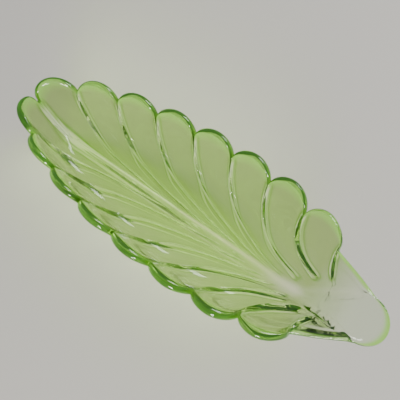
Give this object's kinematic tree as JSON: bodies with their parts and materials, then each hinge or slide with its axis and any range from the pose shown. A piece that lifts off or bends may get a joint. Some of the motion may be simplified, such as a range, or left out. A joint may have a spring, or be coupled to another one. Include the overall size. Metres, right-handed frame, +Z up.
{
  "type": "leaf dish",
  "caption": "Long fluted leaf-shaped serving dish in green pressed glass, with a scalloped rim, a midrib, a thumb-tab handle and a flat oval foot.",
  "frame": {"origin": "in the plane of the flat foot, on the dish's own line of symmetry, between the leaf's tip and its handle", "axes": "+X along the midrib from the leaf's tip to its handle, +Z up out of the bowl, Y across the leaf"},
  "size_m": [0.2443, 0.0928, 0.0481],
  "materials": {
    "uranium_glass": "clear yellow-green uranium glass, pressed and fire polished, faint mould texture"
  },
  "bodies": {
    "root": {"leaf_dish": "uranium_glass"}
  },
  "joints": []
}
